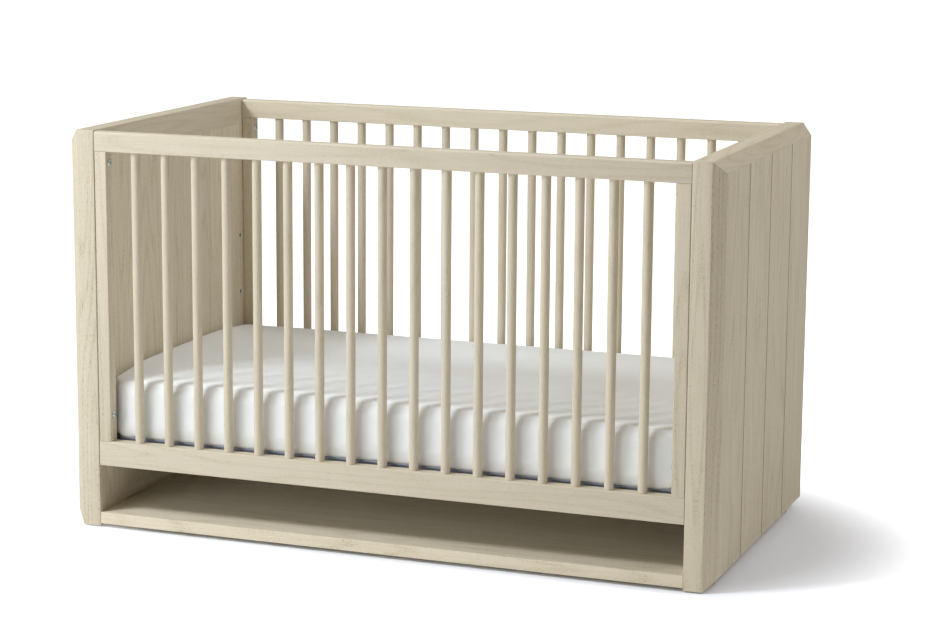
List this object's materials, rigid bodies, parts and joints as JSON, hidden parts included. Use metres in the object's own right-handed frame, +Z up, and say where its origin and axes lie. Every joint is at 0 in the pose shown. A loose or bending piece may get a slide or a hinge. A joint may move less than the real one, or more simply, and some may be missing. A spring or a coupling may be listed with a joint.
{
  "type": "baby crib",
  "caption": "Baby crib with mitred panelled ends, spindle sides, a low storage shelf and a height-adjustable steel mattress support with a sheeted mattress.",
  "frame": {"origin": "on the floor under the middle of the crib", "axes": "+Z up, +X along the length towards the right end, -Y towards the front"},
  "size_m": [1.462, 0.771, 0.88],
  "materials": {
    "oak": "limed oak, matt lacquer",
    "core_wood": "bare sawn wood",
    "zinc_steel": "zinc plated",
    "painted_steel": "semi-gloss powder coat",
    "nylon": "moulded",
    "mattress_ticking": "woven ticking over foam",
    "cotton_sheet": "plain woven cotton"
  },
  "bodies": {
    "crib": {"left_front_post": "oak", "left_back_post": "oak", "left_top_rail": "oak", "left_bottom_rail": "oak", "left_outer_plank_1": "oak", "left_outer_plank_2": "oak", "left_outer_plank_3": "oak", "left_outer_plank_4": "oak", "left_inner_plank_1": "oak", "left_inner_plank_2": "oak", "left_inner_plank_3": "oak", "left_inner_plank_4": "oak", "left_core_battens": "core_wood", "right_front_post": "oak", "right_back_post": "oak", "right_top_rail": "oak", "right_bottom_rail": "oak", "right_outer_plank_1": "oak", "right_outer_plank_2": "oak", "right_outer_plank_3": "oak", "right_outer_plank_4": "oak", "right_inner_plank_1": "oak", "right_inner_plank_2": "oak", "right_inner_plank_3": "oak", "right_inner_plank_4": "oak", "right_core_battens": "core_wood", "corner_dowels": "core_wood", "front_top_rail": "oak", "front_bottom_rail": "oak", "front_left_stile": "oak", "front_right_stile": "oak", "front_spindles": "oak", "back_top_rail": "oak", "back_bottom_rail": "oak", "back_left_stile": "oak", "back_right_stile": "oak", "back_spindles": "oak", "stile_dowels": "core_wood", "gate_pins": "core_wood", "gate_bolts": "zinc_steel", "gate_inserts": "zinc_steel", "shelf_deck": "oak", "shelf_cams": "zinc_steel", "shelf_cam_studs": "zinc_steel", "shelf_dowels": "core_wood", "end_glides": "nylon", "shelf_glides": "nylon", "height_inserts": "zinc_steel", "support_bolts": "zinc_steel"},
    "mattress_support": {"support_front_rail": "painted_steel", "support_back_rail": "painted_steel", "support_left_bar": "painted_steel", "support_right_bar": "painted_steel", "support_cross_rods": "painted_steel", "support_long_wires": "painted_steel", "support_hooks": "painted_steel", "support_springs": "zinc_steel", "support_rivets": "zinc_steel"},
    "mattress": {"mattress": "mattress_ticking", "fitted_sheet": "cotton_sheet"}
  },
  "joints": [
    {"name": "support_height", "type": "slide", "parent": "crib", "child": "mattress_support", "axis": [0, 0, 1], "range_m": [0, 0.276]},
    {"name": "mattress_lift", "type": "slide", "parent": "mattress_support", "child": "mattress", "axis": [0, 0, 1], "range_m": [0, 0.75]}
  ]
}
